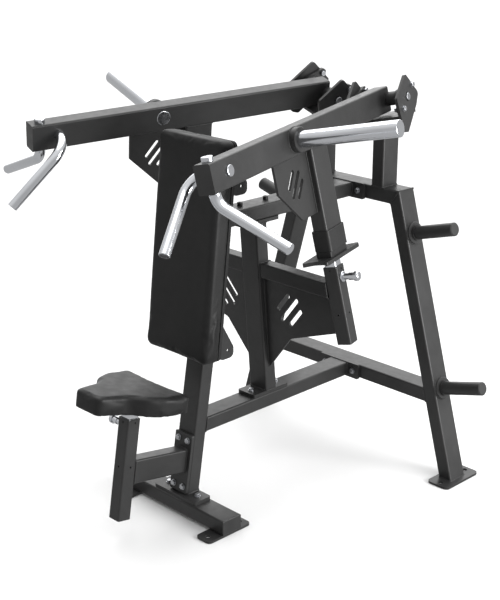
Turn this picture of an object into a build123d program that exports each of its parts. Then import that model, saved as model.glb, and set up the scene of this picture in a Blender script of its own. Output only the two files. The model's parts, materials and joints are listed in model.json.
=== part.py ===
"""Plate-loaded shoulder press machine with two independent arms, in millimetres.

+Z is up, the seat faces -Y and the machine is symmetrical about X = 0.
Places are first laid out from the front face of the front foot beam (Y = 0)
and the floor (Z = 0). Every finished piece is then moved back by CENTRE_Y, so
that the origin is the centre of the machine's footprint on the floor.
"left" and "right" are the sitting user's own, so left is +X.
"""

from build123d import *
from math import cos, hypot, radians, sin, tan
import os

CENTRE_Y = 302.75
BIG = 3000.0

# Tube stock: width, depth, wall, corner radius
WALL = 3.0
CORNER = 6.0
BEAM_W = 80.0
BEAM_D = 50.0
SMALL_TUBE = 50.0
INNER_TUBE = 40.0
SLIDE_GAP = 0.15
BUSH = 20.0

# Front foot
FOOT_BEAM_HALF = 235.0
FOOT_PLATE = 8.0
FOOT_BEAM_TOP = FOOT_PLATE + BEAM_D
FRONT_PLATE_X = 205.0
FRONT_PLATE_W = 64.0
FRONT_PLATE_Y0 = -58.0
FRONT_PLATE_Y1 = 126.0
ANCHOR_HOLE = 9.0
CAP = 4.0

# Front post, seat tube and everything square to them
LEAN = 9.45
POST_Y_AT_FLOOR = 43.5
POST_TOP_Z = 1130.0
BASE_FLANGE = 12.0
FLANGE = 10.0
SEAT_TUBE_TOP_Y = -169.1
SEAT_TUBE_TOP_Z = 396.8
SEAT_TUBE_LENGTH = 335.0
SEAT_ARM_BELOW_TOP = 178.0
SEAT_FLANGE_Z = 166.5
SEAT_FLANGE_H = 201.0

# Seat, heights measured along the seat tube from its top end
SEAT_PLATE_Z = 37.5
SEAT_PLATE = 6.0
SEAT_PAD = 56.0
SEAT_TAIL = -230.0
SEAT_TRAVEL = 150.0
PIN_BELOW_TOP = 28.0

# Back pad
PAD_LEAN = 6.6
PAD_ORIGIN_Y = 85.8
PAD_ORIGIN_Z = 540.6
PAD_LENGTH = 706.0
PAD_HALF = 148.0
PAD_THICK = 56.0
BOARD_THICK = 11.0
BRACKET_W = 170.0
BRACKET_H = 110.0

# Middle frame
LOWER_BEAM_TOP = 317.0
UPPER_BEAM_TOP = 986.0
REAR_FACE_Y = 816.0
COLUMN_SLOPE = 0.0856
COLUMN_Y_AT_LOWER = 417.5
COLUMN_FLANGE_HALF = 82.0
COLUMN_BOLT = 58.0
CROSS_Y = 384.0
CROSS_Z = 766.0
GUSSET = 8.0

# Rear frame
REAR_DEPTH = 80.0
REAR_WIDTH = 50.0
LEG_LEAN = 15.9
LEG_FOOT_X = 490.4
REAR_LOWER_Z0 = 268.0
REAR_PLATE_X0 = 451.0
REAR_PLATE_X1 = 538.0
REAR_PLATE_Y0 = 766.0
REAR_PLATE_Y1 = 948.0
REAR_POST_X = 141.5

# Storage horns on the rear legs
STORAGE_Z = (320.0, 842.0)
STORAGE_R = 23.0
STORAGE_LENGTH = 175.0
STORAGE_COLLAR_R = 38.0
STORAGE_COLLAR = 10.0
STORAGE_STEP = 7.0

# Press arm: the frame of the left arm at its pivot
PIVOT = Vector(131.0, 836.5, 1277.8)
ARM_SPLAY = 14.4
ARM_RISE = 2.8
ARM_ROLL = 11.8
ARM_W = 55.0
ARM_H = 85.0
ARM_FRONT = -1075.0
ARM_REAR = 7.0
HANDLE_R = 16.5
UPRIGHT_Y = ARM_FRONT + 30.0
UPRIGHT_TOP = 57.0
UPRIGHT_CORNER = -75.0
UPRIGHT_END = (221.0, -1075.0, -204.0)
UPRIGHT_BEND = 55.0
INNER_Y = ARM_FRONT + 81.0
INNER_Z = 3.0
INNER_CORNER = -100.0
INNER_END = (-106.0, -1182.0, -174.0)
INNER_BEND = 70.0
HORN_R = 25.0
HORN_Y = ARM_FRONT + 443.0
HORN_Z = 4.0
HORN_END = 370.0
HORN_COLLAR_R = 38.0
HORN_COLLAR = 22.0
HORN_RELIEF = 1.0
LEG_W = 50.0
LEG_D = 100.0
LEG_Y = ARM_FRONT + 577.0
BOOT_WALL = 5.0
BOOT_TOP = -297.0
BOOT_BOTTOM = -362.0

# Pivot: shaft, sleeve, flanged bearings and bracket
SHAFT_R = 12.5
RUNNING_GAP = 0.05
SLEEVE_R = 23.0
SLEEVE_HALF = 60.0
BEARING_HALF = 62.0
PLATE_IN = 88.0
PLATE_OUT = 98.0
SHAFT_HALF = 103.0
BEARING_BOLT_Y = 43.5
BEARING_BOLT_Z = 32.0
PIVOT_BASE_TOP = -52.0
PIVOT_BASE = 10.0
PIVOT_BASE_Y0 = -66.0
PIVOT_BASE_Y1 = 62.0

# Adjustable arm stop, in the arm's frame
STOP_Y = ARM_FRONT + 566.0
BUMPER = 18.7
STOP_PLATE = 12.0
STOP_PLATE_TOP = BOOT_BOTTOM - 0.3 - BUMPER
STOP_TUBE_TOP = -419.0
STOP_TUBE_BOTTOM = -672.0
STOP_TAIL = -640.0
STOP_PIN_Z = -455.0
STOP_TRAVEL = 80.0

# Spring pin, measured out from the face of the tube it is screwed to
PIN_R = 4.9
PIN_BOSS_R = 17.0
PIN_BOSS = 6.0
PIN_NECK_R = 10.0
PIN_NECK_END = 26.0
KNOB_GRIP_R = 12.0
KNOB_GRIP_END = 46.0
KNOB_R = 15.5
KNOB_END = 61.0

# Fasteners
BOLT_R = 5.0
HEX_FLATS = 16.0
HEX_H = 6.5
WASHER_R = 10.5
WASHER = 2.0

X = Vector(1, 0, 0)
Y = Vector(0, 1, 0)
Z = Vector(0, 0, 1)
POST_UP = Vector(0, sin(radians(LEAN)), cos(radians(LEAN)))
PAD_UP = Vector(0, sin(radians(PAD_LEAN)), cos(radians(PAD_LEAN)))
LEG_UP = Vector(-sin(radians(LEG_LEAN)), 0, cos(radians(LEG_LEAN)))
LEG_OUT = Vector(cos(radians(LEG_LEAN)), 0, sin(radians(LEG_LEAN)))

parts = {}


# ---------------------------------------------------------------- helpers

def arm_axes():
    """Outward, rearward and upward directions of the left arm."""
    splay = radians(ARM_SPLAY)
    rise = radians(ARM_RISE)
    roll = radians(ARM_ROLL)
    rear = Vector(-sin(splay) * cos(rise), cos(splay) * cos(rise), sin(rise))
    level_out = Vector(cos(splay), sin(splay), 0)
    level_up = level_out.cross(rear)
    out = level_out * cos(roll) + level_up * sin(roll)
    return out, rear, out.cross(rear)


ARM_OUT, ARM_BACK, ARM_UP = arm_axes()
ARM_PLANE = Plane(origin=PIVOT, x_dir=ARM_OUT, z_dir=ARM_UP)
SEAT_PLANE = Plane(origin=(0, SEAT_TUBE_TOP_Y, SEAT_TUBE_TOP_Z), x_dir=X, z_dir=POST_UP)
POST_PLANE = Plane(origin=(0, POST_Y_AT_FLOOR, 0), x_dir=X, z_dir=POST_UP)
PAD_PLANE = Plane(origin=(0, PAD_ORIGIN_Y, PAD_ORIGIN_Z), x_dir=X, z_dir=PAD_UP)


def put(name, *solids):
    """Add solids to a node, already in their final places."""
    parts.setdefault(name, [])
    for shape in solids:
        parts[name] += [solid.moved(Location((0, -CENTRE_Y, 0))) for solid in shape.solids()]


def both_sides(name, *shapes):
    """Add a left-hand shape and its mirror image as two nodes."""
    put(name + "_left", *shapes)
    put(name + "_right", *[mirror(shape, about=Plane.YZ) for shape in shapes])


def pair(name, *shapes):
    """Add a left-hand shape and its mirror image to one node."""
    put(name, *shapes)
    put(name, *[mirror(shape, about=Plane.YZ) for shape in shapes])


def in_arm(shape):
    """Place a shape drawn in the left arm's own frame."""
    return ARM_PLANE.location * shape


def bar(start, end, across, width, depth, corner=CORNER):
    """Solid bar of rounded rectangular section; `across` points along its width."""
    axis = Vector(*end) - Vector(*start)
    plane = Plane(origin=start, x_dir=across, z_dir=axis)
    return extrude(plane * RectangleRounded(width, depth, corner), axis.length)


def tube(start, end, across, width, depth, wall=WALL, corner=CORNER):
    """Rectangular tube, open at both ends."""
    inside = bar(start, end, across, width - 2 * wall, depth - 2 * wall, corner - wall)
    return bar(start, end, across, width, depth, corner) - inside


def rod(start, end, radius):
    """Round bar from start to end."""
    axis = Vector(*end) - Vector(*start)
    return extrude(Plane(origin=start, z_dir=axis) * Circle(radius), axis.length)


def block(x0, x1, y0, y1, z0, z1):
    """Box given by its limits."""
    return Location(((x0 + x1) / 2, (y0 + y1) / 2, (z0 + z1) / 2)) * Box(x1 - x0, y1 - y0, z1 - z0)


def cut_beyond(shape, point, normal):
    """Take away what lies past the plane through point, on its normal's side."""
    return shape - extrude(Plane(origin=point, z_dir=normal) * Rectangle(BIG, BIG), BIG)


def plate_in(plane, outline, thickness, radius=0.0, sharp=()):
    """Plate of a polygon outline, centred on the plane, its corners rounded."""
    face = make_face(Polyline(*outline, close=True))
    if radius:
        corners = [v for v in face.vertices() if not any(
            hypot(v.X - p[0], v.Y - p[1]) < 0.5 for p in sharp)]
        face = fillet(corners, radius)
    return extrude(plane * face, thickness / 2, both=True)


def slots(plane, centre, length, width, pitch, thickness, turn):
    """Three parallel slanted slots through a plate, a plain weight-saving cut-out."""
    cutter = None
    for i in (-1, 0, 1):
        reach = length if i == 0 else 0.72 * length
        slot = Location((centre[0], centre[1]), turn) * Location((0, i * pitch)) * SlotOverall(reach, width)
        tool = extrude(plane * slot, thickness, both=True)
        cutter = tool if cutter is None else cutter + tool
    return cutter


def bolt(point, out, grip, head=HEX_H):
    """Hexagon bolt with a washer; `out` points from the clamped face to the head."""
    seat = Plane(origin=point, z_dir=out)
    hexagon = extrude(seat.offset(WASHER) * RegularPolygon(HEX_FLATS / 2, 6, major_radius=False), head)
    dome = chamfer(hexagon.edges().filter_by(GeomType.LINE).group_by(Axis(point, out))[-1], 1.2)
    washer = extrude(seat * Circle(WASHER_R), WASHER)
    shank = extrude(seat * Circle(BOLT_R), -grip)
    return dome + washer + shank


def bent_bar(points, radius, bend):
    """Round bar along two straight runs joined by one bend."""
    path = FilletPolyline(*points, radius=bend)
    start = Plane(origin=path @ 0, z_dir=path % 0)
    shape = sweep(start * Circle(radius), path)
    rims = shape.edges().filter_by(GeomType.CIRCLE)
    ends = [e for e in rims if min((e.arc_center - (path @ 0)).length, (e.arc_center - (path @ 1)).length) < 0.5]
    return fillet(ends, 2.0)


# ---------------------------------------------------------------- front frame

def post_point(x, along, rearward=0.0):
    """Point on the front post: height along its length, distance behind its centre."""
    return POST_PLANE.from_local_coords(Vector(x, rearward, along))


def along_post(z):
    """Length along the post's centre line at a height above the floor."""
    return z / cos(radians(LEAN))


post_solid = bar(post_point(0, -50), post_point(0, along_post(POST_TOP_Z)), X, BEAM_W, BEAM_D)
post_solid = cut_beyond(post_solid, (0, 0, FOOT_BEAM_TOP + BASE_FLANGE), -Z)
foot_beam_y = BEAM_W / 2


def front_foot():
    beam = tube((-FOOT_BEAM_HALF, foot_beam_y, FOOT_PLATE + BEAM_D / 2),
                (FOOT_BEAM_HALF, foot_beam_y, FOOT_PLATE + BEAM_D / 2), Y, BEAM_W, BEAM_D)
    for x in (-70, 70):
        beam -= rod((x, 45, FOOT_BEAM_TOP - 10), (x, 45, FOOT_BEAM_TOP + 1), BOLT_R)
    put("front_foot_beam", beam)

    cap_face = Plane(origin=(FOOT_BEAM_HALF, foot_beam_y, FOOT_PLATE + BEAM_D / 2), x_dir=Y, z_dir=X)
    cap = extrude(cap_face * RectangleRounded(BEAM_W, BEAM_D, CORNER), CAP)
    cap = fillet(cap.faces().sort_by(Axis.X)[-1].edges(), 2.5)
    cap += extrude(cap_face * RectangleRounded(BEAM_W - 2 * WALL, BEAM_D - 2 * WALL, CORNER - WALL), -18)
    pair("foot_beam_caps", cap)

    middle = ((FRONT_PLATE_X, (FRONT_PLATE_Y0 + FRONT_PLATE_Y1) / 2))
    outline = Location(middle) * RectangleRounded(FRONT_PLATE_W, FRONT_PLATE_Y1 - FRONT_PLATE_Y0, 14)
    plate = extrude(outline, FOOT_PLATE)
    for y in (FRONT_PLATE_Y0 + 24, FRONT_PLATE_Y1 - 22):
        plate -= rod((FRONT_PLATE_X, y, -1), (FRONT_PLATE_X, y, FOOT_PLATE + 1), ANCHOR_HOLE)
    pair("front_foot_plates", plate)


def front_post():
    hollow = bar(post_point(0, -60), post_point(0, along_post(POST_TOP_Z) - 5), X,
                 BEAM_W - 2 * WALL, BEAM_D - 2 * WALL, CORNER - WALL)
    put("front_post", post_solid - hollow)

    flange = extrude(Location((0, 41, FOOT_BEAM_TOP)) * RectangleRounded(200, 72, 8), BASE_FLANGE)
    for x in (-70, 70):
        flange -= rod((x, 45, FOOT_BEAM_TOP - 1), (x, 45, FOOT_BEAM_TOP + BASE_FLANGE + 1), BOLT_R)
        put("frame_bolts", bolt((x, 45, FOOT_BEAM_TOP + BASE_FLANGE), Z, BASE_FLANGE + WALL))
    put("frame_flanges", flange)


# ---------------------------------------------------------------- seat carrier

def seat_point(x, y, z):
    """Point given in the seat tube's frame: its top is z = 0, y is rearward."""
    return SEAT_PLANE.from_local_coords(Vector(x, y, z))


seat_tube_solid = bar(seat_point(0, 0, 0), seat_point(0, 0, -SEAT_TUBE_LENGTH), X, SMALL_TUBE, SMALL_TUBE)


def seat_carrier():
    arm_mid = -SEAT_ARM_BELOW_TOP
    half_post = BEAM_D / 2
    post_front = post_point(0, along_post(SEAT_FLANGE_Z), -half_post)
    flange_y = (post_front - seat_point(0, 0, 0)).dot(SEAT_PLANE.y_dir) - FLANGE

    support = tube(seat_point(0, SMALL_TUBE / 2, arm_mid), seat_point(0, flange_y, arm_mid),
                   X, SMALL_TUBE, BEAM_W)
    put("seat_support_tube", support)

    outline = Plane(origin=post_front - SEAT_PLANE.y_dir * FLANGE, x_dir=X, z_dir=SEAT_PLANE.y_dir)
    flange = extrude(outline * RectangleRounded(BEAM_W, SEAT_FLANGE_H, 6), FLANGE)
    for x in (-22, 22):
        for z in (-79, 79):
            centre = outline.from_local_coords(Vector(x, z, 0))
            flange -= rod(centre - SEAT_PLANE.y_dir, centre + SEAT_PLANE.y_dir * (FLANGE + 1), BOLT_R)
            put("frame_bolts", bolt(centre, -SEAT_PLANE.y_dir, FLANGE))
    put("frame_flanges", flange)

    outer = tube(seat_point(0, 0, 0), seat_point(0, 0, -SEAT_TUBE_LENGTH), X, SMALL_TUBE, SMALL_TUBE)
    outer -= rod(seat_point(-30, 0, -PIN_BELOW_TOP), seat_point(-20, 0, -PIN_BELOW_TOP), PIN_R + 0.1)
    for z in (-12, -158):
        outer -= rod(seat_point(20, 3, z), seat_point(30, 3, z), 3.2)
        outer -= rod(seat_point(0, -20, z), seat_point(0, -30, z), 3.2)
    put("seat_outer_tube", outer)


def guide_bush(plane, length):
    """Plastic liner at the mouth of a sliding tube, with its top at the plane."""
    outside = SMALL_TUBE - 2 * WALL
    liner = extrude(plane * RectangleRounded(outside, outside, CORNER - WALL), -length)
    bore = INNER_TUBE + 2 * SLIDE_GAP
    return liner - extrude(plane.offset(1) * RectangleRounded(bore, bore, CORNER - WALL - 0.5), -length - 2)


def pin_housing(plane):
    """Threaded boss of a spring pin; the plane lies on the tube's face and points out."""
    boss = extrude(plane * Circle(PIN_BOSS_R), PIN_BOSS)
    boss = chamfer(boss.faces().sort_by(Axis(plane.origin, plane.z_dir))[-1].edges(), 1.5)
    neck = extrude(plane.offset(PIN_BOSS) * Circle(PIN_NECK_R), PIN_NECK_END - PIN_BOSS)
    bore = extrude(plane.offset(-1) * Circle(PIN_R + RUNNING_GAP), PIN_NECK_END + 2)
    return boss + neck - bore


def spring_pin(plane, tip):
    """Pin and pull knob of a spring pin; tip is how far the pin reaches into the tube."""
    pin = extrude(plane.offset(-tip) * Circle(PIN_R), tip + PIN_NECK_END + 5)
    grip = extrude(plane.offset(PIN_NECK_END + 0.3) * Circle(KNOB_GRIP_R), KNOB_GRIP_END - PIN_NECK_END)
    knob = extrude(plane.offset(KNOB_GRIP_END) * Circle(KNOB_R), KNOB_END - KNOB_GRIP_END)
    knob = fillet(knob.faces().sort_by(Axis(plane.origin, plane.z_dir))[-1].edges(), 7)
    return pin + grip + knob


seat_pin_plane = Plane(origin=seat_point(-SMALL_TUBE / 2, 0, -PIN_BELOW_TOP), x_dir=Y, z_dir=-X)
stop_pin_plane = Plane(
    origin=ARM_PLANE.from_local_coords(Vector(SMALL_TUBE / 2, STOP_Y, STOP_PIN_Z)),
    x_dir=ARM_BACK, z_dir=ARM_OUT)


def pins_and_bushes():
    pin_tip = (SMALL_TUBE - INNER_TUBE) / 2 - 0.4
    put("guide_bushes", guide_bush(SEAT_PLANE, BUSH))
    stop_mouth = Plane(origin=ARM_PLANE.from_local_coords(Vector(0, STOP_Y, STOP_TUBE_TOP)),
                       x_dir=ARM_OUT, z_dir=ARM_UP)
    pair("guide_bushes", guide_bush(stop_mouth, BUSH))

    put("pin_housings", pin_housing(seat_pin_plane))
    pair("pin_housings", pin_housing(stop_pin_plane))
    put("seat_pin", spring_pin(seat_pin_plane, pin_tip))
    both_sides("stop_pin", spring_pin(stop_pin_plane, pin_tip))


# ---------------------------------------------------------------- seat

def seat_outline():
    """Seat seen from above: a narrow nose that flares in an S-curve to a wide back."""
    half = [(57, -182), (87, -77), (130, -42), (157, 20), (154, 108)]
    radii = [22, 60, 60, 80, 14]
    points = half + [(-x, y) for x, y in reversed(half)]
    face = make_face(Polyline(*points, close=True))
    for (x, y), radius in zip(half, radii):
        corners = [v for v in face.vertices() if abs(abs(v.X) - x) < 0.5 and abs(v.Y - y) < 0.5]
        face = fillet(corners, radius)
    return face


def seat():
    top_of_plate = SEAT_PLATE_Z + SEAT_PLATE
    inner = tube(seat_point(0, 0, SEAT_PLATE_Z), seat_point(0, 0, SEAT_TAIL), X,
                 INNER_TUBE, INNER_TUBE, corner=4.5)
    for i in range(6):
        z = -PIN_BELOW_TOP - i * 30
        inner -= rod(seat_point(-25, 0, z), seat_point(-10, 0, z), PIN_R + 0.3)
    put("seat_inner_tube", inner)

    plate = extrude(SEAT_PLANE.offset(SEAT_PLATE_Z) * RectangleRounded(130, 160, 12), SEAT_PLATE)
    for x in (-50, 50):
        for y in (-65, 65):
            plate -= rod(seat_point(x, y, SEAT_PLATE_Z - 1), seat_point(x, y, top_of_plate + 1), 3.5)
            screw = rod(seat_point(x, y, SEAT_PLATE_Z - 4), seat_point(x, y, SEAT_PLATE_Z), 7)
            screw += rod(seat_point(x, y, SEAT_PLATE_Z), seat_point(x, y, top_of_plate), 3.5)
            put("seat_screws", screw)
    put("seat_plate", plate)

    pad = extrude(SEAT_PLANE.offset(top_of_plate) * seat_outline(), SEAT_PAD)
    top = pad.faces().sort_by(Axis(SEAT_PLANE.origin, POST_UP))[-1]
    put("seat_pad", fillet(top.edges(), 9))


# ---------------------------------------------------------------- back pad

def back_pad():
    sheet = Plane(origin=PAD_PLANE.from_local_coords(Vector(0, 0, PAD_LENGTH / 2)), x_dir=X,
                  z_dir=-PAD_PLANE.y_dir)
    board = extrude(sheet * RectangleRounded(2 * PAD_HALF - 14, PAD_LENGTH - 14, 20), BOARD_THICK)
    put("back_board", board)
    cushion = extrude(sheet.offset(BOARD_THICK) * RectangleRounded(2 * PAD_HALF, PAD_LENGTH, 26), PAD_THICK)
    front = cushion.faces().sort_by(Axis(PAD_PLANE.origin, -PAD_PLANE.y_dir))[-1]
    put("back_pad", fillet(front.edges(), 12))


def pad_brackets():
    """Two pairs of cheek plates on the post, each closed by a plate behind the pad."""
    plate = 6.0
    for hole_y, hole_z in ((208.0, 529.0), (271.0, 1065.0)):
        front = PAD_ORIGIN_Y + (hole_z - PAD_ORIGIN_Z) * tan(radians(PAD_LEAN))
        slope = tan(radians(PAD_LEAN))
        low = hole_z - 28
        high = hole_z + 105
        outline = [(front + slope * 22 + plate, hole_z + 22), (hole_y - 25, low), (hole_y + 25, low),
                   (hole_y + 25, hole_z + 8), (hole_y - 30, high),
                   (front + slope * (high - hole_z) + plate, high)]
        side = Plane(origin=(BEAM_W / 2 + plate / 2, 0, 0), x_dir=Y, z_dir=X)
        cheek = plate_in(side, outline, plate, 18, sharp=(outline[0], outline[5]))
        cheek -= rod((0, hole_y, hole_z), (BIG, hole_y, hole_z), 5)
        pair("pad_brackets", cheek)

        middle = Vector(0, front, hole_z) + PAD_UP * (82 if hole_z < PAD_ORIGIN_Z else 38)
        back = Plane(origin=middle, x_dir=X, z_dir=PAD_PLANE.y_dir)
        web = extrude(back * RectangleRounded(BRACKET_W, BRACKET_H, 10), plate)
        for x in (-66, 66):
            for z in (-38, 38):
                place = back.from_local_coords(Vector(x, z, plate))
                web -= rod(place - PAD_PLANE.y_dir * (plate + 1), place + PAD_PLANE.y_dir, 4)
                screw = rod(place, place + PAD_PLANE.y_dir * 4, 7.5)
                put("pad_screws", screw + rod(place, place - PAD_PLANE.y_dir * plate, 4))
        put("pad_brackets", web)


# ---------------------------------------------------------------- middle frame

def column_y(z):
    return COLUMN_Y_AT_LOWER - COLUMN_SLOPE * (z - LOWER_BEAM_TOP)


column_low = LOWER_BEAM_TOP + BASE_FLANGE
column_high = UPPER_BEAM_TOP - BEAM_D - BASE_FLANGE
COLUMN_BOLT_Y = (column_y(column_high) - COLUMN_BOLT, column_y(column_high) + COLUMN_BOLT)
column_solid = bar((0, column_y(column_low - 40), column_low - 40),
                   (0, column_y(column_high + 40), column_high + 40), X, BEAM_W, BEAM_D)
column_solid = cut_beyond(column_solid, (0, 0, column_low), -Z)
column_solid = cut_beyond(column_solid, (0, 0, column_high), Z)
stop_tube_solid = in_arm(bar((0, STOP_Y, STOP_TUBE_TOP), (0, STOP_Y, STOP_TUBE_BOTTOM), X,
                             SMALL_TUBE, SMALL_TUBE))


def middle_frame():
    for name, top in (("lower_beam", LOWER_BEAM_TOP), ("upper_beam", UPPER_BEAM_TOP)):
        mid = top - BEAM_D / 2
        beam = tube((0, 60, mid), (0, REAR_FACE_Y - FLANGE, mid), X, BEAM_W, BEAM_D)
        beam = cut_beyond(beam, post_point(0, 0, BEAM_D / 2), -POST_PLANE.y_dir)
        if name == "upper_beam":
            for y in COLUMN_BOLT_Y:
                beam -= rod((0, y, mid - BEAM_D), (0, y, mid + BEAM_D), BOLT_R)
        put(name, beam)
        face = Plane(origin=(0, REAR_FACE_Y, mid), x_dir=X, z_dir=-Y)
        flange = extrude(face * RectangleRounded(184, 56, 6), FLANGE)
        for x in (-66, 66):
            flange -= rod((x, REAR_FACE_Y - FLANGE - 1, mid), (x, REAR_FACE_Y + 1, mid), BOLT_R)
            put("frame_bolts", bolt((x, REAR_FACE_Y - FLANGE, mid), -Y, FLANGE))
        put("frame_flanges", flange)

    inside = bar((0, column_y(column_low - 60), column_low - 60),
                 (0, column_y(column_high + 60), column_high + 60), X,
                 BEAM_W - 2 * WALL, BEAM_D - 2 * WALL, CORNER - WALL)
    put("column", column_solid - inside)
    for z, y in ((LOWER_BEAM_TOP, column_y(column_low)), (column_high, column_y(column_high))):
        flange = extrude(Location((0, y, z)) * RectangleRounded(BEAM_W, 2 * COLUMN_FLANGE_HALF, 6), BASE_FLANGE)
        for side in (-COLUMN_BOLT, COLUMN_BOLT):
            flange -= rod((0, y + side, z - 1), (0, y + side, z + BASE_FLANGE + 1), BOLT_R)
            if z == LOWER_BEAM_TOP:
                put("frame_bolts", bolt((0, y + side, z + BASE_FLANGE), Z, BASE_FLANGE))
        put("frame_flanges", flange)


def socket_bolts():
    """Long socket-head screws down through the upper beam into the column's top flange."""
    for y in COLUMN_BOLT_Y:
        head = rod((0, y, UPPER_BEAM_TOP), (0, y, UPPER_BEAM_TOP + 12), 9)
        head = chamfer(head.faces().sort_by(Axis.Z)[-1].edges(), 1)
        key = Plane(origin=(0, y, UPPER_BEAM_TOP + 12)) * RegularPolygon(5, 6, major_radius=False)
        head -= extrude(key, -6)
        put("socket_bolts", head + rod((0, y, column_high), (0, y, UPPER_BEAM_TOP), BOLT_R))


def stop_carriers():
    """Cross tubes from the column to the stop tubes, with a gusset below each."""
    cross = tube((BEAM_W / 2, CROSS_Y, CROSS_Z), (400, CROSS_Y, CROSS_Z), Y, SMALL_TUBE, SMALL_TUBE)
    stop_face = ARM_PLANE.from_local_coords(Vector(-SMALL_TUBE / 2, STOP_Y, STOP_TUBE_TOP))
    pair("cross_tubes", cut_beyond(cross, stop_face, ARM_OUT))

    bottom = CROSS_Z - SMALL_TUBE / 2
    side = Plane(origin=(0, column_y(bottom), bottom), x_dir=X, z_dir=(0, -1, -COLUMN_SLOPE))
    outline = [(BEAM_W / 2, 2), (420, 2), (420, -94), (149, -194), (BEAM_W / 2, -327)]
    plate = cut_beyond(plate_in(side, outline, GUSSET), (0, 0, bottom), Z)
    plate -= slots(side, (150, -91), 120, 16, 34, GUSSET, 50)
    pair("cross_gussets", cut_beyond(plate, stop_face, ARM_OUT))

    outer = tube((0, STOP_Y, STOP_TUBE_TOP), (0, STOP_Y, STOP_TUBE_BOTTOM), X, SMALL_TUBE, SMALL_TUBE)
    outer -= rod((20, STOP_Y, STOP_PIN_Z), (30, STOP_Y, STOP_PIN_Z), PIN_R + 0.1)
    for z in (STOP_TUBE_TOP - 10, STOP_TUBE_TOP - 155):
        outer -= rod((0, STOP_Y - 20, z), (0, STOP_Y - 30, z), 3.2)
        outer -= rod((20, STOP_Y + 3, z), (30, STOP_Y + 3, z), 3.2)
    pair("stop_outer_tubes", in_arm(outer))


# ---------------------------------------------------------------- rear frame

leg_half = REAR_WIDTH / 2 / cos(radians(LEG_LEAN))
rear_y = REAR_FACE_Y + REAR_DEPTH / 2


def leg_x(z):
    """Centre of the left rear leg at a height."""
    return LEG_FOOT_X - tan(radians(LEG_LEAN)) * (z - FOOT_PLATE)


leg_solid = bar((leg_x(-60), rear_y, -60), (leg_x(1100), rear_y, 1100), Y, REAR_DEPTH, REAR_WIDTH)
leg_solid = cut_beyond(leg_solid, (0, 0, FOOT_PLATE), -Z)
mitre_in = Vector(leg_x(UPPER_BEAM_TOP - REAR_WIDTH) - leg_half, 0, UPPER_BEAM_TOP - REAR_WIDTH)
mitre_out = Vector(leg_x(UPPER_BEAM_TOP) + leg_half, 0, UPPER_BEAM_TOP)
mitre_up = (mitre_out - mitre_in).cross(Y).normalized()


def rear_frame():
    inside = bar((leg_x(-80), rear_y, -80), (leg_x(1120), rear_y, 1120), Y,
                 REAR_DEPTH - 2 * WALL, REAR_WIDTH - 2 * WALL, CORNER - WALL)
    up = mitre_up if mitre_up.Z > 0 else -mitre_up
    leg = cut_beyond(leg_solid - inside, mitre_in, up)
    both_sides("rear_leg", leg)

    mid = UPPER_BEAM_TOP - REAR_WIDTH / 2
    beam = tube((-400, rear_y, mid), (400, rear_y, mid), Y, REAR_DEPTH, REAR_WIDTH)
    beam = cut_beyond(beam, mitre_in, -up)
    beam = cut_beyond(beam, Vector(-mitre_in.X, 0, mitre_in.Z), Vector(up.X, 0, -up.Z))
    put("rear_top_beam", beam)

    low = REAR_LOWER_Z0 + REAR_WIDTH / 2
    lower = tube((-500, rear_y, low), (500, rear_y, low), Y, REAR_DEPTH, REAR_WIDTH)
    lower = lower - leg_solid - mirror(leg_solid, about=Plane.YZ)
    put("rear_lower_beam", sorted(lower.solids(), key=lambda s: abs(s.center().X))[0])

    centre = ((REAR_PLATE_X0 + REAR_PLATE_X1) / 2, (REAR_PLATE_Y0 + REAR_PLATE_Y1) / 2)
    size = (REAR_PLATE_X1 - REAR_PLATE_X0, REAR_PLATE_Y1 - REAR_PLATE_Y0)
    plate = extrude(Location(centre) * RectangleRounded(*size, 16), FOOT_PLATE)
    for y in (REAR_PLATE_Y0 + 22, REAR_PLATE_Y1 - 22):
        plate -= rod((centre[0], y, -1), (centre[0], y, FOOT_PLATE + 1), ANCHOR_HOLE)
    pair("rear_foot_plates", plate)


def storage_horns():
    for z in STORAGE_Z:
        foot = Vector(leg_x(z) + leg_half, rear_y, z)
        collar_end = foot + LEG_OUT * STORAGE_COLLAR
        collar = rod(foot, collar_end, STORAGE_COLLAR_R)
        collar = chamfer(collar.faces().sort_by(Axis(foot, LEG_OUT))[-1].edges(), 1.5)
        horn = rod(foot, foot + LEG_OUT * STORAGE_LENGTH, STORAGE_R)
        horn = chamfer(horn.faces().sort_by(Axis(foot, LEG_OUT))[-1].edges(), 3)
        step = rod(collar_end, collar_end + LEG_OUT * STORAGE_STEP, STORAGE_R + 3)
        relief_end = collar_end + LEG_OUT * (STORAGE_STEP + 1)
        relief = rod(collar_end, relief_end, STORAGE_R + 3) - rod(collar_end, relief_end, STORAGE_R - 1)
        pair("storage_horns", collar + (horn - relief) + step)


# ---------------------------------------------------------------- pivots

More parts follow.
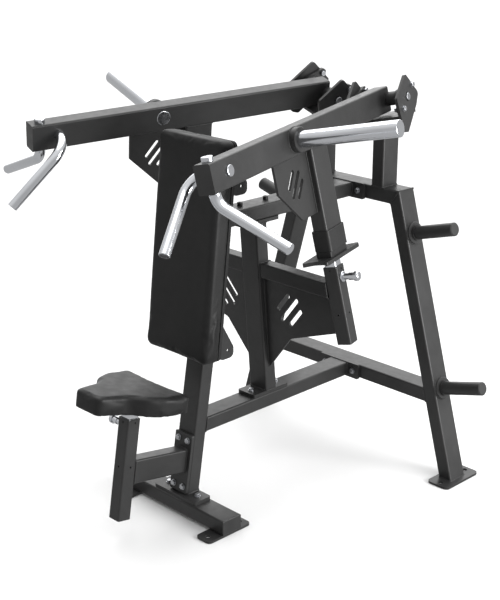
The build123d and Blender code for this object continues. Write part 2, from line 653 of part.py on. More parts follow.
def pivots():
    base = block(-PLATE_IN, PLATE_IN, PIVOT_BASE_Y0, PIVOT_BASE_Y1, PIVOT_BASE_TOP - PIVOT_BASE, PIVOT_BASE_TOP)
    pair("pivot_bases", in_arm(base))

    outline = [(10, 74), (84, -2), (56, -38), (-36, -112), (-64, -104), (-80, 6)]
    hole = rod((-BIG / 2, 0, 0), (BIG / 2, 0, 0), SHAFT_R + 2)
    plates = []
    bearings = []
    bolts = []
    for inner, outer in ((PLATE_IN, PLATE_OUT), (-PLATE_IN, -PLATE_OUT)):
        out = 1 if outer > 0 else -1
        face = Plane(origin=((inner + outer) / 2, 0, 0), x_dir=Y, z_dir=X)
        plate = plate_in(face, outline, PLATE_OUT - PLATE_IN, 11) - hole
        inward = Plane(origin=(inner, 0, 0), x_dir=Y, z_dir=(-out, 0, 0))
        ear = [(54, 0, 15), (-54, 0, 15)]
        flange = Circle(30)
        for x, y, r in ear:
            flange += Location((x, y)) * Circle(r)
        flange = make_hull(flange.edges())
        lie = Plane(origin=(inner, 0, 0), x_dir=(0, BEARING_BOLT_Y, BEARING_BOLT_Z), z_dir=(-out, 0, 0))
        housing = extrude(lie * flange, 11)
        housing += extrude(inward.offset(11) * Circle(29), PLATE_IN - BEARING_HALF - 11, taper=8)
        housing -= rod((-BIG / 2, 0, 0), (BIG / 2, 0, 0), SHAFT_R + RUNNING_GAP)
        for s in (-1, 1):
            y = s * BEARING_BOLT_Y
            z = s * BEARING_BOLT_Z
            tool = rod((inner - out * 30, y, z), (outer + out * 5, y, z), BOLT_R)
            plate -= tool
            housing -= tool
            fixing = bolt((outer, y, z), Vector(out, 0, 0), PLATE_OUT - PLATE_IN + 11)
            nut_face = Plane(origin=(inner - out * 11, y, z), z_dir=(-out, 0, 0))
            fixing += extrude(nut_face * RegularPolygon(HEX_FLATS / 2, 6, major_radius=False), 10)
            bolts.append(fixing)
        plates.append(plate)
        bearings.append(housing)
    pair("pivot_plates", *[in_arm(p) for p in plates])
    pair("pivot_bearings", *[in_arm(b) for b in bearings])
    pair("frame_bolts", *[in_arm(b) for b in bolts])

    post = bar((REAR_POST_X, rear_y, UPPER_BEAM_TOP), (REAR_POST_X, rear_y, 1300), X, REAR_WIDTH, REAR_DEPTH)
    under = ARM_PLANE.from_local_coords(Vector(0, 0, PIVOT_BASE_TOP - PIVOT_BASE))
    post = cut_beyond(post, under, ARM_UP)
    hollow = bar((REAR_POST_X, rear_y, UPPER_BEAM_TOP - 1), (REAR_POST_X, rear_y, 1300), X,
                 REAR_WIDTH - 2 * WALL, REAR_DEPTH - 2 * WALL, CORNER - WALL)
    hollow = cut_beyond(hollow, under - ARM_UP * 5, ARM_UP)
    pair("rear_posts", post - hollow)
    shaft = rod((-SHAFT_HALF, 0, 0), (SHAFT_HALF, 0, 0), SHAFT_R)
    shaft = chamfer(shaft.edges().filter_by(GeomType.CIRCLE), 1.5)
    both_sides("pivot_shaft", in_arm(shaft))


# ---------------------------------------------------------------- press arms

def press_arm():
    sleeve_solid = rod((-SLEEVE_HALF, 0, 0), (SLEEVE_HALF, 0, 0), SLEEVE_R)
    sleeve = sleeve_solid - rod((-BIG / 2, 0, 0), (BIG / 2, 0, 0), SHAFT_R + RUNNING_GAP)

    upright = bent_bar([(0, UPRIGHT_Y, UPRIGHT_TOP), (0, UPRIGHT_Y, UPRIGHT_CORNER), UPRIGHT_END],
                       HANDLE_R, UPRIGHT_BEND)
    inner = bent_bar([(ARM_W / 2 + 6, INNER_Y, INNER_Z), (INNER_CORNER, INNER_Y, INNER_Z), INNER_END],
                     HANDLE_R, INNER_BEND)
    upright_hole = rod((0, UPRIGHT_Y, -60), (0, UPRIGHT_Y, 60), HANDLE_R)
    both_sides("outer_handle", in_arm(upright))
    inner_hole = rod((-60, INNER_Y, INNER_Z), (60, INNER_Y, INNER_Z), HANDLE_R)
    both_sides("inner_handle", in_arm(inner))

    shoulder = ARM_W / 2 + HORN_COLLAR + HORN_RELIEF
    horn = rod((shoulder, HORN_Y, HORN_Z), (HORN_END, HORN_Y, HORN_Z), HORN_R)
    horn = fillet(horn.edges().filter_by(GeomType.CIRCLE).sort_by(Axis.X)[-1], 2)
    spigot = rod((-ARM_W / 2 - 2, HORN_Y, HORN_Z), (shoulder, HORN_Y, HORN_Z), HORN_R - 1)
    spigot = fillet(spigot.edges().filter_by(GeomType.CIRCLE).sort_by(Axis.X)[0], 2)
    horn_hole = rod((-60, HORN_Y, HORN_Z), (60, HORN_Y, HORN_Z), HORN_R - 1)
    both_sides("weight_horn", in_arm(horn + spigot))
    collar = rod((ARM_W / 2, HORN_Y, HORN_Z), (ARM_W / 2 + HORN_COLLAR, HORN_Y, HORN_Z), HORN_COLLAR_R)
    collar = chamfer(collar.faces().sort_by(Axis.X)[-1].edges(), 2) - horn_hole

    arm = tube((0, ARM_FRONT, 0), (0, ARM_REAR, 0), X, ARM_W, ARM_H)
    arm = arm - sleeve_solid - upright_hole - inner_hole - horn_hole
    mouth = Plane(origin=(0, ARM_FRONT, 0), x_dir=X, z_dir=-Y)
    cap = extrude(mouth * RectangleRounded(ARM_W, ARM_H, CORNER), CAP)
    cap += extrude(mouth * RectangleRounded(ARM_W - 2 * WALL, ARM_H - 2 * WALL, CORNER - WALL), -10)
    both_sides("arm_tube", in_arm(arm), in_arm(cap), in_arm(sleeve), in_arm(collar))

    under = -ARM_H / 2
    leg = tube((0, LEG_Y, under), (0, LEG_Y, BOOT_BOTTOM + BOOT_WALL), X, LEG_W, LEG_D)
    both_sides("arm_leg", in_arm(leg))
    front = LEG_Y - LEG_D / 2
    outline = [(ARM_FRONT + 335, under), (ARM_FRONT + 335, -133), (ARM_FRONT + 440, -237),
               (front, -237), (front, under)]
    middle = Plane(origin=(0, 0, 0), x_dir=Y, z_dir=X)
    gusset = plate_in(middle, outline, GUSSET)
    gusset -= slots(middle, (ARM_FRONT + 437, -128), 96, 14, 28, GUSSET, 50)
    both_sides("arm_gusset", in_arm(gusset))
    boot = bar((0, LEG_Y, BOOT_TOP), (0, LEG_Y, BOOT_BOTTOM), X, LEG_W + 2 * BOOT_WALL, LEG_D + 2 * BOOT_WALL, 9)
    boot = chamfer(boot.faces().sort_by(Axis.Z)[-1].edges(), 1.5)
    boot -= bar((0, LEG_Y, BOOT_TOP), (0, LEG_Y, BOOT_BOTTOM + BOOT_WALL), X, LEG_W, LEG_D)
    both_sides("leg_boot", in_arm(boot))


# ---------------------------------------------------------------- arm stops

def arm_stop():
    inner = tube((0, STOP_Y, STOP_PLATE_TOP - STOP_PLATE), (0, STOP_Y, STOP_TAIL), X,
                 INNER_TUBE, INNER_TUBE, corner=4.5)
    for i in range(5):
        z = STOP_PIN_Z - i * 20
        inner -= rod((10, STOP_Y, z), (25, STOP_Y, z), PIN_R + 0.3)
    both_sides("stop_inner_tube", in_arm(inner))

    lie = Plane(origin=(-7, STOP_Y + 13, STOP_PLATE_TOP - STOP_PLATE / 2))
    front_half = [(-45, -103), (-39, -111), (-7, -93), (30, -93), (39, -109), (44, -103)]
    outline = front_half + [(-x, -y) for x, y in front_half]
    wing = plate_in(lie, outline, STOP_PLATE, 4)
    both_sides("stop_plate", in_arm(wing))
    pad = bar((0, STOP_Y + 8, STOP_PLATE_TOP), (0, STOP_Y + 8, STOP_PLATE_TOP + BUMPER), X, 54, 104, 5)
    both_sides("stop_bumper", in_arm(fillet(pad.faces().sort_by(Axis.Z)[-1].edges(), 2)))


front_foot()
front_post()
seat_carrier()
pins_and_bushes()
seat()
back_pad()
pad_brackets()
middle_frame()
socket_bolts()
stop_carriers()
rear_frame()
storage_horns()
pivots()
press_arm()
arm_stop()

os.makedirs("parts", exist_ok=True)
for name, solids in parts.items():
    shape = solids[0] if len(solids) == 1 else Compound(children=solids)
    export_step(shape, "parts/" + name + ".step")

everything = Compound(children=[s.moved(Location()) for group in parts.values() for s in group])
box = everything.bounding_box()
print("nodes", len(parts))
print("box", [round(v, 1) for v in (*box.min, *box.max)])
print("pivot", ARM_PLANE.origin - Vector(0, CENTRE_Y, 0), "outward", ARM_OUT, "up", ARM_UP)
print("post up", POST_UP)
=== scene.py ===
"""Looks for the plate-loaded shoulder press machine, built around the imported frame.

Places are in metres in the frame's own axes: +Z up, the seat faces -Y, +X is the
sitting user's left, and the origin is on the floor below the middle of the machine.
"""

import json
import math

import bmesh
import bpy
import numpy as np
from mathutils import Matrix, Vector


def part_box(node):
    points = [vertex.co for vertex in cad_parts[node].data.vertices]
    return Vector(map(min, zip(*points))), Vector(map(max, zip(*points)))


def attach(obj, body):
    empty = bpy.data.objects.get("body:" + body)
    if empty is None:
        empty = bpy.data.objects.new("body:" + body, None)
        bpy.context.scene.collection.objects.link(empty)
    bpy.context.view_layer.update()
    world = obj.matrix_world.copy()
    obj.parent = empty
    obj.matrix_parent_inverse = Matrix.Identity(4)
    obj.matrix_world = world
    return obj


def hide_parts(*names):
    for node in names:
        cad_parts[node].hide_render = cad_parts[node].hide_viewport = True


MM = 0.001

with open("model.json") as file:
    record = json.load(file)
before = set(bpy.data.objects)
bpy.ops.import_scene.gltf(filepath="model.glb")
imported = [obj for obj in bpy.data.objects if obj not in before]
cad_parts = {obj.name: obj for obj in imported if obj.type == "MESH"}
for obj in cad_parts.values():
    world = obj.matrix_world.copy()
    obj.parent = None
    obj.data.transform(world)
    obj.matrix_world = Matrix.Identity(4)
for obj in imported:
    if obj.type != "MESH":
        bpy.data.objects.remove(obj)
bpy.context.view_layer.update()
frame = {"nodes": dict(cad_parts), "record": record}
NODES = frame["nodes"]
SIDES = {"left": 1, "right": -1}

# ------------------------------------------------------------------ layout

FOOTPRINT_Y = 302.75
LEAN = math.radians(9.45)
POST_UP = Vector((0, math.sin(LEAN), math.cos(LEAN)))
POST_BACK = Vector((0, math.cos(LEAN), -math.sin(LEAN)))
SEAT_TUBE_TOP = Vector((0, -169.1, 396.8))
COLUMN_UP = Vector((0, -0.0856, 1)).normalized()
LEG_LEAN = math.radians(15.9)
REAR_Y = 856.0
PIVOT = Vector((131.0, 836.5, 1277.8))
ARM_OUT = Vector((0.950599, 0.233759, 0.204252))
ARM_UP = Vector((-0.186180, -0.097171, 0.977699))
ARM_BACK = ARM_UP.cross(ARM_OUT)
STOP_Y = -509.0
LEG_Y = -498.0
LEG_FRONT_Y = LEG_Y - 50
ARM_UNDER = -42.5
HORN_Y = -632.0
WIDE = 80
NARROW = 50
COLUMN_ENDS = (329, 924)
BEAM_MIDDLES = (292, 961)
BEAM_REAR_Y = 806
REAR_LOW_Z = 293
REAR_TOP_BOTTOM = 936
REAR_TOP_TOP = 986
REAR_POST_X = 141.5
CROSS_Y = 384
CROSS_Z = 766
GUSSET_TOP = 741
GUSSET_LOW = 416
STORAGE_HORNS_Z = (320, 842)
COLLAR_R = 38
GUSSET_FACES = (-4.5, 4.5)


def arm(out, back, up):
    """Point of the left arm's own frame, in layout millimetres."""
    return PIVOT + out * ARM_OUT + back * ARM_BACK + up * ARM_UP


def seat_tube(x, back, up):
    """Point of the seat tube's own frame, in layout millimetres."""
    return SEAT_TUBE_TOP + Vector((x, 0, 0)) + back * POST_BACK + up * POST_UP


def leg_x(z):
    return 490.4 - math.tan(LEG_LEAN) * (z - 8)


def column_y(z):
    return 417.5 - 0.0856 * (z - 317)


def post_y(z):
    return 43.5 + math.tan(LEAN) * z


def to_scene(point, side=1):
    """Layout millimetres on the left side to metres in the frame, mirrored for the right."""
    return Vector((side * point[0], point[1] - FOOTPRINT_Y, point[2])) * MM


# ------------------------------------------------------------------ materials

def rgb(level, tint=(1, 1, 1)):
    return (level * tint[0], level * tint[1], level * tint[2], 1)


class Mat:
    """A procedural material and short ways to wire its nodes."""

    def __init__(self, name):
        self.mat = bpy.data.materials.new(name)
        self.mat.use_nodes = True
        self.tree = self.mat.node_tree
        self.shader = self.tree.nodes["Principled BSDF"]
        self.coords = self.tree.nodes.new("ShaderNodeTexCoord").outputs["Object"]

    def set(self, **values):
        for name, value in values.items():
            self.shader.inputs[name.replace("_", " ")].default_value = value

    def node(self, kind, **settings):
        made = self.tree.nodes.new("ShaderNode" + kind)
        for name, value in settings.items():
            setattr(made, name, value)
        return made

    def link(self, out, into):
        self.tree.links.new(out, into)

    def noise(self, scale, detail=2.0, rough=0.5, stretch=None):
        made = self.node("TexNoise")
        made.inputs["Scale"].default_value = scale
        made.inputs["Detail"].default_value = detail
        made.inputs["Roughness"].default_value = rough
        source = self.coords
        if stretch:
            squeeze = self.node("Mapping")
            squeeze.inputs["Scale"].default_value = stretch
            self.link(source, squeeze.inputs["Vector"])
            source = squeeze.outputs["Vector"]
        self.link(source, made.inputs["Vector"])
        return made.outputs["Fac"]

    def cells(self, scale, feature="F1", randomness=1.0):
        made = self.node("TexVoronoi", feature=feature)
        made.inputs["Scale"].default_value = scale
        made.inputs["Randomness"].default_value = randomness
        self.link(self.coords, made.inputs["Vector"])
        return made.outputs["Distance"]

    def spread(self, source, low, high, in_low=0.3, in_high=0.7):
        made = self.node("MapRange")
        made.inputs["From Min"].default_value = in_low
        made.inputs["From Max"].default_value = in_high
        made.inputs["To Min"].default_value = low
        made.inputs["To Max"].default_value = high
        self.link(source, made.inputs["Value"])
        return made.outputs["Result"]

    def blend(self, factor, dark, light):
        made = self.node("Mix", data_type="RGBA")
        made.inputs[6].default_value = dark
        made.inputs[7].default_value = light
        self.link(factor, made.inputs[0])
        return made.outputs[2]

    def add(self, a, b, weight=1.0):
        made = self.node("Math", operation="MULTIPLY_ADD")
        made.inputs[1].default_value = weight
        self.link(b, made.inputs[0])
        self.link(a, made.inputs[2])
        return made.outputs[0]

    def bump(self, height, strength, distance):
        made = self.node("Bump")
        made.inputs["Strength"].default_value = strength
        made.inputs["Distance"].default_value = distance
        self.link(height, made.inputs["Height"])
        self.link(made.outputs["Normal"], self.shader.inputs["Normal"])

    def colour(self, out):
        self.link(out, self.shader.inputs["Base Color"])

    def roughness(self, out):
        self.link(out, self.shader.inputs["Roughness"])


def powder_coat():
    """Satin black powder coat: fine orange peel, faint cloudiness."""
    m = Mat("powder_coat")
    m.set(Specular_IOR_Level=0.36)
    cloud = m.spread(m.noise(5.0, 3.0), 0.0, 1.0)
    m.colour(m.blend(cloud, rgb(0.016), rgb(0.024)))
    m.roughness(m.spread(m.noise(45.0, 4.0), 0.34, 0.44))
    peel = m.add(m.noise(700.0, 2.0), m.cells(420.0, "SMOOTH_F1"), 0.4)
    m.bump(peel, 0.14, 0.0003)
    return m.mat


def chrome():
    """Polished chrome plate with faint polishing streaks."""
    m = Mat("chrome_plate")
    m.set(Metallic=1.0)
    tint = (0.97, 0.99, 1.03)
    m.colour(m.blend(m.spread(m.noise(9.0), 0, 1), rgb(0.70, tint), rgb(0.78, tint)))
    m.roughness(m.spread(m.noise(60.0, 4.0), 0.12, 0.20))
    m.bump(m.noise(260.0, 3.0), 0.04, 0.0002)
    return m.mat


def zinc():
    """Bright zinc plated steel for bolts, washers and shafts."""
    m = Mat("zinc_plate")
    m.set(Metallic=1.0)
    tint = (0.97, 0.99, 1.03)
    m.colour(m.blend(m.spread(m.noise(120.0, 3.0), 0, 1), rgb(0.42, tint), rgb(0.54, tint)))
    m.roughness(m.spread(m.noise(300.0, 4.0), 0.22, 0.36))
    m.bump(m.noise(900.0, 3.0), 0.12, 0.0002)
    return m.mat


def black_oxide():
    """Oil-blacked steel of the socket screws."""
    m = Mat("black_oxide")
    m.set(Metallic=0.6)
    m.colour(m.blend(m.spread(m.noise(200.0, 3.0), 0, 1), rgb(0.014), rgb(0.03)))
    m.roughness(m.spread(m.noise(150.0, 3.0), 0.32, 0.45))
    m.bump(m.noise(800.0, 2.0), 0.1, 0.0002)
    return m.mat


def vinyl():
    """Black upholstery vinyl: pebbled grain of small cells and soft creases."""
    m = Mat("upholstery_vinyl")
    m.set(Specular_IOR_Level=0.22)
    cloud = m.spread(m.noise(7.0, 3.0), 0.0, 1.0)
    m.colour(m.blend(cloud, rgb(0.008), rgb(0.011)))
    m.roughness(m.spread(m.noise(30.0, 3.0), 0.42, 0.52))
    pebble = m.add(m.cells(620.0, "SMOOTH_F1"), m.noise(1400.0, 2.0), 0.3)
    grain = m.add(pebble, m.noise(90.0, 3.0), 0.3)
    m.bump(grain, 0.16, 0.0005)
    return m.mat


def rubber():
    """Moulded rubber of the boots and bumpers."""
    m = Mat("moulded_rubber")
    m.set(Specular_IOR_Level=0.35)
    m.colour(m.blend(m.spread(m.noise(12.0, 3.0), 0, 1), rgb(0.008), rgb(0.012)))
    m.roughness(m.spread(m.noise(80.0, 4.0), 0.48, 0.6))
    m.bump(m.noise(1100.0, 3.0), 0.25, 0.0003)
    return m.mat


def plastic():
    """Black moulded plastic of the caps and liners."""
    m = Mat("moulded_plastic")
    m.set(Specular_IOR_Level=0.45)
    m.colour(m.blend(m.spread(m.noise(20.0, 2.0), 0, 1), rgb(0.014), rgb(0.02)))
    m.roughness(m.spread(m.noise(120.0, 3.0), 0.34, 0.46))
    m.bump(m.cells(1500.0, "SMOOTH_F1"), 0.15, 0.0002)
    return m.mat


def covered_board():
    """Pad board wrapped in thin woven backing cloth."""
    m = Mat("board_cloth")
    m.set(Specular_IOR_Level=0.2)
    warp = m.noise(900.0, 2.0, 0.5, (1, 0.2, 0.2))
    weft = m.noise(900.0, 2.0, 0.5, (0.2, 1, 1))
    m.colour(m.blend(warp, rgb(0.010), rgb(0.018)))
    m.roughness(m.spread(weft, 0.7, 0.9))
    m.bump(m.add(warp, weft), 0.4, 0.0005)
    return m.mat


MATERIALS = {
    "frame_paint": powder_coat(),
    "chrome": chrome(),
    "zinc": zinc(),
    "black_steel": black_oxide(),
    "vinyl": vinyl(),
    "rubber": rubber(),
    "plastic": plastic(),
    "board": covered_board(),
}

for part in frame["record"]["subparts"]:
    node = NODES[part["node"]]
    node.data.materials.clear()
    node.data.materials.append(MATERIALS[part["material_slot"]])


# ------------------------------------------------------------------ mesh helpers

def mesh_object(name, verts, faces, material):
    mesh = bpy.data.meshes.new(name)
    mesh.from_pydata([tuple(v) for v in verts], [], faces)
    mesh.validate()
    obj = bpy.data.objects.new(name, mesh)
    bpy.context.collection.objects.link(obj)
    bm = bmesh.new()
    bm.from_mesh(mesh)
    bmesh.ops.recalc_face_normals(bm, faces=bm.faces)
    bm.to_mesh(mesh)
    bm.free()
    mesh.materials.append(material)
    return obj


def smooth(obj):
    for face in obj.data.polygons:
        face.use_smooth = True


# ------------------------------------------------------------------ cushions

def cushion(node, body, name, voxel, shrink, cap):
    """Padded cushion grown from the node's solid by a short pressure simulation."""
    lo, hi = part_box(node)
    centre = (Vector(lo) + Vector(hi)) / 2
    mesh = NODES[node].data.copy()
    obj = bpy.data.objects.new(name, mesh)
    bpy.context.collection.objects.link(obj)
    bpy.context.view_layer.objects.active = obj
    for other in bpy.context.selected_objects:
        other.select_set(False)
    obj.select_set(True)

    half = (Vector(hi) - Vector(lo)) / 2
    scale = [1 - shrink / max(h, 0.02) for h in half]
    mesh.transform(Matrix.Translation(centre) @ Matrix.Diagonal((*scale, 1)) @ Matrix.Translation(-centre))

    remesh = obj.modifiers.new("remesh", "REMESH")
    remesh.mode = "VOXEL"
    remesh.voxel_size = voxel
    bpy.ops.object.modifier_apply(modifier=remesh.name)
    soften = obj.modifiers.new("soften", "SMOOTH")
    soften.iterations = 2
    bpy.ops.object.modifier_apply(modifier=soften.name)

    count = len(obj.data.vertices)
    start = np.empty(count * 3)
    obj.data.vertices.foreach_get("co", start)
    start = start.reshape(-1, 3)

    cloth = obj.modifiers.new("cloth", "CLOTH")
    cloth.settings.use_pressure = True
    cloth.settings.uniform_pressure_force = 4.0
    cloth.settings.effector_weights.gravity = 0.0
    cloth.settings.quality = 6
    cloth.settings.mass = 0.3
    cloth.settings.tension_stiffness = 25.0
    cloth.settings.compression_stiffness = 25.0
    cloth.settings.bending_stiffness = 4.0
    scene = bpy.context.scene
    for step in range(1, 21):
        scene.frame_set(step)
    grown = obj.evaluated_get(bpy.context.evaluated_depsgraph_get()).to_mesh()
    end = np.empty(count * 3)
    grown.vertices.foreach_get("co", end)
    end = end.reshape(-1, 3)
    obj.modifiers.remove(cloth)
    scene.frame_set(1)
    move = end - start
    length = np.linalg.norm(move, axis=1, keepdims=True)
    end = start + move * np.minimum(1.0, cap / np.maximum(length, 1e-9))
    obj.data.vertices.foreach_set("co", end.ravel())
    obj.data.update()

    settle = obj.modifiers.new("settle", "SMOOTH")
    settle.iterations = 2
    bpy.ops.object.modifier_apply(modifier=settle.name)
    subdivide = obj.modifiers.new("subdivide", "SUBSURF")
    subdivide.levels = 1
    subdivide.render_levels = 1
    bpy.ops.object.modifier_apply(modifier=subdivide.name)
    obj.data.materials.clear()
    obj.data.materials.append(MATERIALS["vinyl"])
    smooth(obj)
    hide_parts(node)
    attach(obj, body)
    return obj


cushion("back_pad", "frame", "back_cushion", 0.004, 0.0015, 0.004)
cushion("seat_pad", "seat", "seat_cushion", 0.0035, 0.001, 0.004)


# ------------------------------------------------------------------ weld beads

BEAD = 2.6
RIPPLE = 3.2


def bead(name, path, closed, body, side=1):
    """Rippled fillet weld along a path in layout millimetres."""
    points = [to_scene(p, side) for p in path]
    if closed:
        points.append(points[0])
    lengths = [(b - a).length / MM for a, b in zip(points, points[1:])]
    steps = max(8, int(sum(lengths) / 1.1))
    verts = []
    faces = []
    around = 8
    rings = steps if closed else steps + 1
    for i in range(rings):
        run = sum(lengths) * i / steps
        wave = math.sin(2 * math.pi * run / RIPPLE)
        leg = 0
        while leg < len(lengths) - 1 and run > lengths[leg]:
            run -= lengths[leg]
            leg += 1
        along = (points[leg + 1] - points[leg]).normalized()
        centre = points[leg] + along * run * MM
        upright = abs(along.z) > 0.9
        across = along.orthogonal() if upright else along.cross(Vector((0, 0, 1)))
        across.normalize()
        other = along.cross(across)
        radius = BEAD * MM * (1 + 0.13 * wave)
        for k in range(around):
            turn = 2 * math.pi * k / around
            verts.append(centre + radius * (math.cos(turn) * across + math.sin(turn) * other))
    for i in range(steps):
        j = (i + 1) % rings
        for k in range(around):
            n = (k + 1) % around
            faces.append((i * around + k, i * around + n, j * around + n, j * around + k))
    obj = mesh_object(name, verts, faces, MATERIALS["frame_paint"])
    smooth(obj)
    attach(obj, body)
    return obj


def section_path(point, axis, across, width, depth, normal, corner=6.0):
    """Outline of a rounded tube where it meets a plane through the point."""
    axis = axis.normalized()
    across = across.normalized()
    other = axis.cross(across)
    path = []
    for quarter, (sx, sy) in enumerate(((1, 1), (-1, 1), (-1, -1), (1, -1))):
        for step in range(5):
            turn = math.pi / 2 * (quarter + step / 4)
            x = sx * (width / 2 - corner) + corner * math.cos(turn)
            y = sy * (depth / 2 - corner) + corner * math.sin(turn)
            spot = point + across * x + other * y
            spot -= axis * ((spot - point).dot(normal) / axis.dot(normal))
            path.append(spot)
    return path


def ring_path(point, axis, radius, count=40):
    across = axis.orthogonal().normalized()
    other = axis.normalized().cross(across)
    turns = [2 * math.pi * i / count for i in range(count)]
    return [point + radius * (math.cos(t) * across + math.sin(t) * other) for t in turns]


def weld_frame():
    x = Vector((1, 0, 0))
    y = Vector((0, 1, 0))
    z = Vector((0, 0, 1))
    foot = Vector((0, post_y(70), 70))
    bead("weld_post_base", section_path(foot, POST_UP, x, WIDE, NARROW, z), True, "frame")
    for height in COLUMN_ENDS:
        spot = Vector((0, column_y(height), height))
        path = section_path(spot, COLUMN_UP, x, WIDE, NARROW, z)
        bead(f"weld_column_{height}", path, True, "frame")
    for back in (25, 239):
        path = section_path(seat_tube(0, back, -178), POST_BACK, x, NARROW, WIDE, POST_BACK)
        bead(f"weld_seat_arm_{back}", path, True, "frame")
    for middle in BEAM_MIDDLES:
        front = Vector((0, post_y(middle) + 25 / math.cos(LEAN), middle))
        path = section_path(front, y, x, WIDE, NARROW, POST_BACK)
        bead(f"weld_beam_front_{middle}", path, True, "frame")
        rear = Vector((0, BEAM_REAR_Y, middle))
        bead(f"weld_beam_rear_{middle}", section_path(rear, y, x, WIDE, NARROW, y), True, "frame")

    for name, side in SIDES.items():
        weld_rear(name, side, x, y, z)
        weld_stop_carrier(name, side, x, y)


def weld_rear(name, side, x, y, z):
    leg_up = Vector((-math.sin(LEG_LEAN), 0, math.cos(LEG_LEAN)))
    leg_out = Vector((math.cos(LEG_LEAN), 0, math.sin(LEG_LEAN)))
    half = 25 / math.cos(LEG_LEAN)
    foot = Vector((leg_x(8), REAR_Y, 8))
    bead(f"weld_foot_{name}", section_path(foot, leg_up, y, WIDE, NARROW, z), True, "frame", side)
    low = Vector((leg_x(REAR_LOW_Z) - half, REAR_Y, REAR_LOW_Z))
    bead(f"weld_low_{name}", section_path(low, x, y, WIDE, NARROW, leg_out), True, "frame", side)
    inner = Vector((leg_x(REAR_TOP_BOTTOM) - half, REAR_Y, REAR_TOP_BOTTOM))
    outer = Vector((leg_x(REAR_TOP_TOP) + half, REAR_Y, REAR_TOP_TOP))
    mitre = (outer - inner).cross(y).normalized()
    path = section_path((inner + outer) / 2, leg_up, y, WIDE, NARROW, mitre)
    bead(f"weld_mitre_{name}", path, True, "frame", side)
    post = Vector((REAR_POST_X, REAR_Y, REAR_TOP_TOP))
    bead(f"weld_post_{name}", section_path(post, z, x, NARROW, WIDE, z), True, "frame", side)
    for height in STORAGE_HORNS_Z:
        spot = Vector((leg_x(height) + half, REAR_Y, height))
        bead(f"weld_horn_{height}_{name}", ring_path(spot, leg_out, COLLAR_R), True, "frame", side)


def weld_stop_carrier(name, side, x, y):
    column = Vector((40, CROSS_Y, CROSS_Z))
    bead(f"weld_cross_{name}", section_path(column, x, y, NARROW, NARROW, x), True, "frame", side)
    stop_face = arm(-25, STOP_Y, -419)
    reach = (stop_face - column).dot(ARM_OUT) / x.dot(ARM_OUT)
    path = section_path(column + x * reach, x, y, NARROW, NARROW, ARM_OUT)
    bead(f"weld_stop_{name}", path, True, "frame", side)
    for face in GUSSET_FACES:
        depth = Vector((0, face, 0))
        top = Vector((40, column_y(GUSSET_TOP), GUSSET_TOP)) + depth
        low = Vector((40, column_y(GUSSET_LOW), GUSSET_LOW)) + depth
        bead(f"weld_gusset_column_{name}_{face}", [low, top], False, "frame", side)
        out = Vector((328, column_y(GUSSET_TOP), GUSSET_TOP)) + depth
        bead(f"weld_gusset_tube_{name}_{face}", [top, out], False, "frame", side)


def weld_arms():
    for name, side in SIDES.items():
        body = f"press_arm_{name}"
        path = section_path(arm(0, LEG_Y, ARM_UNDER), ARM_UP, ARM_OUT, NARROW, 100, ARM_UP)
        bead(f"weld_leg_{name}", path, True, body, side)
        bead(f"weld_collar_{name}", ring_path(arm(27.5, HORN_Y, 4), ARM_OUT, COLLAR_R), True, body, side)
        for face in GUSSET_FACES:
            path = [arm(face, -740, ARM_UNDER), arm(face, LEG_FRONT_Y, ARM_UNDER)]
            bead(f"weld_gusset_arm_{name}_{face}", path, False, body, side)
            path = [arm(face, LEG_FRONT_Y, ARM_UNDER), arm(face, LEG_FRONT_Y, -237)]
            bead(f"weld_gusset_leg_{name}_{face}", path, False, body, side)
        path = section_path(arm(0, STOP_Y, -393), ARM_UP, ARM_OUT, 40, 40, ARM_UP, 4.5)
        bead(f"weld_stop_plate_{name}", path, True, f"arm_stop_{name}", side)


weld_frame()
weld_arms()


# ------------------------------------------------------------------ stage

def floor():
    """Pale floor, kept out of mirror reflections so that low faces stay dark."""
    size = 60.0
    verts = [(-size, -size, 0), (size, -size, 0), (size, size, 0), (-size, size, 0)]
    m = Mat("studio_floor")
    m.colour(m.blend(m.noise(0.6), rgb(0.68), rgb(0.69)))
    m.set(Roughness=0.9, Specular_IOR_Level=0.0)
    obj = mesh_object("studio_floor", verts, [(0, 1, 2, 3)], m.mat)
    obj.location.z = -0.0005
    obj.visible_glossy = False


def area_light(name, place, target, size, power):
    data = bpy.data.lights.new(name, "AREA")
    data.shape = "SQUARE"
    data.size = size
    data.energy = power
    obj = bpy.data.objects.new(name, data)
    bpy.context.collection.objects.link(obj)
    obj.location = place
    obj.rotation_euler = (Vector(target) - Vector(place)).to_track_quat("-Z", "Y").to_euler()


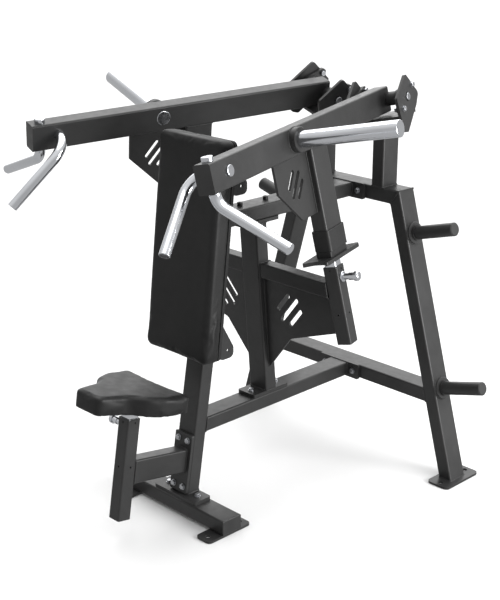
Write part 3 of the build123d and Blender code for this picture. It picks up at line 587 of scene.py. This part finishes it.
def studio():
    """Soft white world, brighter overhead and behind the machine, with a sun and a side light."""
    world = bpy.data.worlds.new("studio")
    bpy.context.scene.world = world
    world.use_nodes = True
    tree = world.node_tree
    back = tree.nodes["Background"]
    coords = tree.nodes.new("ShaderNodeTexCoord").outputs["Generated"]

    def lobe(direction, start, end, low, high):
        dot = tree.nodes.new("ShaderNodeVectorMath")
        dot.operation = "DOT_PRODUCT"
        dot.inputs[1].default_value = Vector(direction).normalized()
        tree.links.new(coords, dot.inputs[0])
        ramp = tree.nodes.new("ShaderNodeMapRange")
        ramp.interpolation_type = "SMOOTHSTEP"
        ramp.inputs["From Min"].default_value = start
        ramp.inputs["From Max"].default_value = end
        ramp.inputs["To Min"].default_value = low
        ramp.inputs["To Max"].default_value = high
        tree.links.new(dot.outputs["Value"], ramp.inputs["Value"])
        return ramp.outputs["Result"]

    overhead = lobe((0, 0, 1), 0.1, 0.9, 0.50, 0.9)
    behind = lobe((-0.60, 0.62, 0.42), 0.62, 0.96, 0.0, 1.5)
    total = tree.nodes.new("ShaderNodeMath")
    total.operation = "ADD"
    tree.links.new(overhead, total.inputs[0])
    tree.links.new(behind, total.inputs[1])
    tree.links.new(total.outputs[0], back.inputs["Strength"])
    back.inputs["Color"].default_value = (1, 1, 1, 1)

    sun = bpy.data.lights.new("overhead_dome", "SUN")
    sun.energy = 2.3
    sun.angle = math.radians(80)
    obj = bpy.data.objects.new("overhead_dome", sun)
    bpy.context.collection.objects.link(obj)
    obj.rotation_euler = (math.radians(-14), math.radians(-8), 0)

    area_light("side_softbox", (3.8, 1.2, 1.3), (0.2, 0.1, 0.7), 2.2, 230)


def camera():
    data = bpy.data.cameras.new("camera")
    data.lens = 74.4
    data.sensor_width = 36.0
    obj = bpy.data.objects.new("camera", data)
    bpy.context.collection.objects.link(obj)
    obj.location = (2.7768, -2.66335, 2.0)
    obj.rotation_euler = (math.radians(70.9), 0, math.radians(45.66))
    bpy.context.scene.camera = obj


floor()
studio()
camera()
bpy.context.scene.view_settings.view_transform = "Standard"
